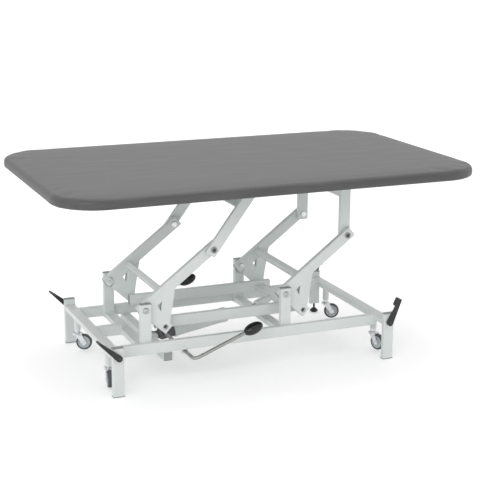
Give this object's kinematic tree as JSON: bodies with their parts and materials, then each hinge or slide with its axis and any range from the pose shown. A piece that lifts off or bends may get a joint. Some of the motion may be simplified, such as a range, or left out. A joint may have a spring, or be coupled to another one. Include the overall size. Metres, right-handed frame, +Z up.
{
  "type": "therapy mat table",
  "caption": "Wide padded therapy mat table on a parallel-arm lifting frame with a hydraulic ram, foot pump pedal, drop-down castors and corner foot levers.",
  "frame": {"origin": "on the floor under the centre of the mat, at the bottom centre of the overall box", "axes": "+X along the mat's length, +Y across it to the far side, +Z up"},
  "size_m": [1.95, 1.2, 0.9113],
  "materials": {
    "frame_paint": "satin",
    "cap_plastic": "matt",
    "vinyl": "satin",
    "plywood": "matt",
    "black_plastic": "gloss",
    "pedal_steel": "satin",
    "casting_paint": "satin",
    "chromed_rod": "polished",
    "zinc": "bright zinc",
    "wheel_rubber": "matt"
  },
  "bodies": {
    "base": {"rail_near": "frame_paint", "rail_far": "frame_paint", "rail_middle": "frame_paint", "beam_left": "frame_paint", "beam_right": "frame_paint", "leg_near_left": "frame_paint", "leg_near_right": "frame_paint", "leg_far_left": "frame_paint", "leg_far_right": "frame_paint", "post_near_left": "frame_paint", "post_near_right": "frame_paint", "post_far_left": "frame_paint", "post_far_right": "frame_paint", "cross_left": "frame_paint", "cross_right": "frame_paint", "pump_beam": "frame_paint", "foot_caps": "cap_plastic", "end_plugs": "cap_plastic"},
    "levelling": {"levelling_foot": "black_plastic"},
    "arms_left": {"arm_near_left": "frame_paint", "arm_far_left": "frame_paint", "arm_brace_left": "frame_paint"},
    "arms_right": {"arm_near_right": "frame_paint", "arm_far_right": "frame_paint", "arm_brace_right": "frame_paint"},
    "sync": {"sync_bar_near": "frame_paint", "sync_bar_far": "frame_paint", "ram_bar": "frame_paint"},
    "ram": {"ram_casting": "casting_paint", "ram_cylinder": "frame_paint"},
    "ram_rod": {"ram_rod": "chromed_rod"},
    "top": {"top_rail_near": "frame_paint", "top_rail_far": "frame_paint", "top_cross_left": "frame_paint", "top_cross_right": "frame_paint", "upright_near": "frame_paint", "upright_far": "frame_paint", "upright_beam": "frame_paint", "link_near": "frame_paint", "link_far": "frame_paint", "link_beam": "frame_paint", "board": "plywood", "mat": "vinyl"},
    "pedal": {"pedal_bar": "pedal_steel", "pedal_pad_near": "black_plastic", "pedal_pad_far": "black_plastic"},
    "levers_left": {"lever_near_left": "black_plastic", "lever_far_left": "black_plastic"},
    "levers_right": {"lever_near_right": "black_plastic", "lever_far_right": "black_plastic"},
    "castors_left": {"plungers_left": "zinc"},
    "castors_right": {"plungers_right": "zinc"},
    "fork_near_left": {"fork_near_left": "zinc"},
    "wheel_near_left": {"wheel_near_left": "wheel_rubber"},
    "fork_far_left": {"fork_far_left": "zinc"},
    "wheel_far_left": {"wheel_far_left": "wheel_rubber"},
    "fork_near_right": {"fork_near_right": "zinc"},
    "wheel_near_right": {"wheel_near_right": "wheel_rubber"},
    "fork_far_right": {"fork_far_right": "zinc"},
    "wheel_far_right": {"wheel_far_right": "wheel_rubber"}
  },
  "joints": [
    {"name": "lift", "type": "hinge", "parent": "base", "child": "arms_left", "pos_m": [-0.5315, 0, 0.333], "axis": [0, -1, 0], "range_deg": [-66, 0]},
    {"name": "lift_right", "type": "hinge", "parent": "base", "child": "arms_right", "pos_m": [0.1315, 0, 0.333], "axis": [0, -1, 0], "range_deg": [-66, 0]},
    {"name": "top_level", "type": "hinge", "parent": "arms_left", "child": "top", "pos_m": [-0.21524, 0, 0.57132], "axis": [0, -1, 0], "range_deg": [0, 66]},
    {"name": "sync_level", "type": "hinge", "parent": "arms_left", "child": "sync", "pos_m": [-0.4335, 0, 0.24161], "axis": [0, -1, 0], "range_deg": [0, 66]},
    {"name": "ram_swing", "type": "hinge", "parent": "base", "child": "ram", "pos_m": [-0.4, 0, 0.118], "axis": [0, -1, 0], "range_deg": [-1.74, 0]},
    {"name": "ram_stroke", "type": "slide", "parent": "ram", "child": "ram_rod", "axis": [0.986, 0, 0.1666], "range_m": [-0.1459, 0]},
    {"name": "pump_pedal", "type": "hinge", "parent": "base", "child": "pedal", "pos_m": [-0.357, 0, 0.132], "axis": [0, 1, 0], "range_deg": [0, 20], "stiffness_Nm_per_rad": 8, "springref_deg": -40.11},
    {"name": "levelling_screw", "type": "slide", "parent": "base", "child": "levelling", "axis": [0, 0, -1], "range_m": [0, 0.015]},
    {"name": "lever_left", "type": "hinge", "parent": "base", "child": "levers_left", "pos_m": [-0.692, 0, 0.1775], "axis": [0, -1, 0], "range_deg": [0, 70]},
    {"name": "castors_down_left", "type": "slide", "parent": "base", "child": "castors_left", "axis": [0, 0, -1], "range_m": [0, 0.0182]},
    {"name": "lever_right", "type": "hinge", "parent": "base", "child": "levers_right", "pos_m": [0.602, 0, 0.1775], "axis": [0, 1, 0], "range_deg": [0, 70]},
    {"name": "castors_down_right", "type": "slide", "parent": "base", "child": "castors_right", "axis": [0, 0, -1], "range_m": [0, 0.0182]},
    {"name": "swivel_near_left", "type": "hinge", "parent": "castors_left", "child": "fork_near_left", "pos_m": [-0.692, -0.25, 0.09], "axis": [0, 0, 1], "continuous": true},
    {"name": "roll_near_left", "type": "hinge", "parent": "fork_near_left", "child": "wheel_near_left", "pos_m": [-0.69721, -0.27954, 0.0455], "axis": [0.9848, -0.1736, 0], "continuous": true},
    {"name": "swivel_far_left", "type": "hinge", "parent": "castors_left", "child": "fork_far_left", "pos_m": [-0.692, 0.25, 0.09], "axis": [0, 0, 1], "continuous": true},
    {"name": "roll_far_left", "type": "hinge", "parent": "fork_far_left", "child": "wheel_far_left", "pos_m": [-0.66439, 0.23828, 0.0455], "axis": [0.3907, 0.9205, 0], "continuous": true},
    {"name": "swivel_near_right", "type": "hinge", "parent": "castors_right", "child": "fork_near_right", "pos_m": [0.602, -0.25, 0.09], "axis": [0, 0, 1], "continuous": true},
    {"name": "roll_near_right", "type": "hinge", "parent": "fork_near_right", "child": "wheel_near_right", "pos_m": [0.61226, -0.27819, 0.0455], "axis": [0.9397, 0.342, 0], "continuous": true},
    {"name": "swivel_far_right", "type": "hinge", "parent": "castors_right", "child": "fork_far_right", "pos_m": [0.602, 0.25, 0.09], "axis": [0, 0, 1], "continuous": true},
    {"name": "roll_far_right", "type": "hinge", "parent": "fork_far_right", "child": "wheel_far_right", "pos_m": [0.62962, 0.23828, 0.0455], "axis": [0.3907, 0.9205, 0], "continuous": true}
  ],
  "couplings": [
    {"joint": "lift_right", "follows": "lift", "ratio": 1},
    {"joint": "top_level", "follows": "lift", "ratio": -1},
    {"joint": "sync_level", "follows": "lift", "ratio": -1},
    {"joint": "ram_swing", "follows": "lift", "ratio": 0.025607},
    {"joint": "ram_stroke", "follows": "lift", "m_per_rad": 0.1262},
    {"joint": "castors_down_left", "follows": "lever_left", "m_per_rad": 0.014733},
    {"joint": "castors_down_right", "follows": "lever_right", "m_per_rad": 0.014733}
  ]
}
